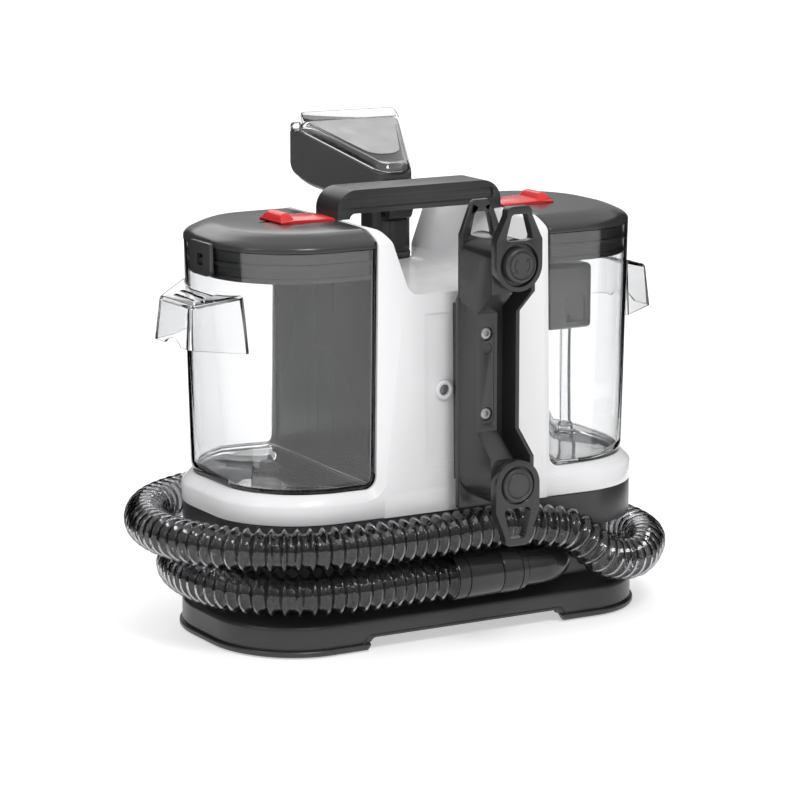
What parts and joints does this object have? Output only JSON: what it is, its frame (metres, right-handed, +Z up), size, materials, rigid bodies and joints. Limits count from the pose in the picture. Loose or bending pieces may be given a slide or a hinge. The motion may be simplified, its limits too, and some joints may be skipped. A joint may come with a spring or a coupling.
{
  "type": "spot extractor",
  "caption": "Free-standing spray and suction cleaner with two lift-off clear tanks, a carrying handle, a cord bracket with a turning hook, and a wrapped ribbed hose with a hand tool.",
  "frame": {"origin": "on the floor under the middle of the machine's box without its hose", "axes": "+X along the machine towards the recovery tank, -Y to the front with the cord bracket, +Z up"},
  "size_m": [0.4583, 0.3494, 0.3924],
  "materials": {
    "body_white": "glossy white ABS, faint texture",
    "tank_clear": "clear polycarbonate, polished",
    "lid_charcoal": "glossy charcoal ABS",
    "handle_charcoal": "satin charcoal ABS, fine grain",
    "base_black": "satin black polypropylene, fine grain",
    "fitting_black": "satin black plastic",
    "tool_charcoal": "semi-gloss charcoal ABS",
    "hose_smoke": "clear grey ribbed vinyl hose",
    "seal_smoke": "smoke-grey translucent plastic",
    "latch_red": "glossy red ABS",
    "foot_rubber": "matt black rubber",
    "screw_steel": "zinc-plated steel",
    "motor_aluminium": "cast and turned aluminium",
    "board_green": "solder-masked circuit board"
  },
  "bodies": {
    "machine": {"base_tray": "base_black", "foot_pad_1": "foot_rubber", "foot_pad_2": "foot_rubber", "foot_pad_3": "foot_rubber", "foot_pad_4": "foot_rubber", "waist_shell": "base_black", "body_front": "body_white", "body_rear": "body_white", "body_screw": "screw_steel", "body_screw_boss": "body_white", "end_panel_left": "lid_charcoal", "end_panel_right": "lid_charcoal", "handle": "handle_charcoal", "cord_bracket": "handle_charcoal", "bracket_screw_1": "screw_steel", "bracket_screw_2": "screw_steel", "lower_loop": "handle_charcoal", "lower_disc": "handle_charcoal", "fan_housing": "fitting_black", "vacuum_motor": "motor_aluminium", "water_pump": "fitting_black", "control_board": "board_green", "water_line": "tank_clear", "suction_duct": "fitting_black", "switch_bezel": "fitting_black", "power_inlet": "fitting_black", "hose": "hose_smoke", "hose_cuff": "fitting_black", "hose_elbow": "fitting_black"},
    "left_tank": {"left_tank": "tank_clear", "left_hood": "tank_clear", "left_tank_valve": "seal_smoke"},
    "left_lid": {"left_lid": "lid_charcoal", "left_lid_seal": "lid_charcoal", "left_clip": "lid_charcoal"},
    "left_latch": {"left_latch": "latch_red"},
    "right_tank": {"right_tank": "tank_clear", "right_hood": "tank_clear", "separator_box": "seal_smoke", "standpipe": "tank_clear"},
    "right_lid": {"right_lid": "lid_charcoal", "right_lid_seal": "lid_charcoal", "right_clip": "lid_charcoal"},
    "right_latch": {"right_latch": "latch_red"},
    "float": {"shutoff_float": "latch_red"},
    "cord_hook": {"cord_hook": "handle_charcoal", "hook_knob": "handle_charcoal"},
    "swivel_ring": {"swivel_ring": "fitting_black"},
    "impeller": {"impeller": "motor_aluminium"},
    "power_rocker": {"power_rocker": "latch_red"},
    "tool": {"tool_collar": "tool_charcoal", "tool_grip": "fitting_black", "tool_head": "tool_charcoal", "tool_cover": "tank_clear", "spray_tip": "fitting_black"},
    "trigger": {"trigger": "fitting_black"}
  },
  "joints": [
    {"name": "left_tank_lift", "type": "slide", "parent": "machine", "child": "left_tank", "axis": [0, 0, 1], "range_m": [0, 0.22]},
    {"name": "left_lid_lift", "type": "slide", "parent": "left_tank", "child": "left_lid", "axis": [0, 0, 1], "range_m": [0, 0.06]},
    {"name": "left_latch_slide", "type": "slide", "parent": "left_lid", "child": "left_latch", "axis": [-1, 0, 0], "range_m": [0, 0.008], "stiffness_N_per_m": 400},
    {"name": "right_tank_lift", "type": "slide", "parent": "machine", "child": "right_tank", "axis": [0, 0, 1], "range_m": [0, 0.22]},
    {"name": "right_lid_lift", "type": "slide", "parent": "right_tank", "child": "right_lid", "axis": [0, 0, 1], "range_m": [0, 0.06]},
    {"name": "right_latch_slide", "type": "slide", "parent": "right_lid", "child": "right_latch", "axis": [1, 0, 0], "range_m": [0, 0.008], "stiffness_N_per_m": 400},
    {"name": "float_rise", "type": "slide", "parent": "right_tank", "child": "float", "axis": [0, 0, 1], "range_m": [0, 0.025]},
    {"name": "cord_hook_turn", "type": "hinge", "parent": "machine", "child": "cord_hook", "pos_m": [0, -0.16, 0.3096], "axis": [0, 1, 0], "range_deg": [0, 180]},
    {"name": "swivel_ring_turn", "type": "hinge", "parent": "machine", "child": "swivel_ring", "pos_m": [0.033, -0.098, 0.052], "axis": [1, 0, 0], "range_deg": [0, 60]},
    {"name": "impeller_spin", "type": "hinge", "parent": "machine", "child": "impeller", "pos_m": [-0.008, 0, 0.147], "axis": [0, 0, 1], "continuous": true},
    {"name": "power_rocker_tilt", "type": "hinge", "parent": "machine", "child": "power_rocker", "pos_m": [-0.045, 0.09088, 0.208], "axis": [1, 0, 0], "range_deg": [0, 14]},
    {"name": "tool_lift", "type": "slide", "parent": "machine", "child": "tool", "axis": [0, 0, 1], "range_m": [0, 0.05]},
    {"name": "trigger_pull", "type": "hinge", "parent": "tool", "child": "trigger", "pos_m": [0.0315, 0.0715, 0.3415], "axis": [1, 0, 0], "range_deg": [0, 9], "stiffness_Nm_per_rad": 0.5}
  ]
}
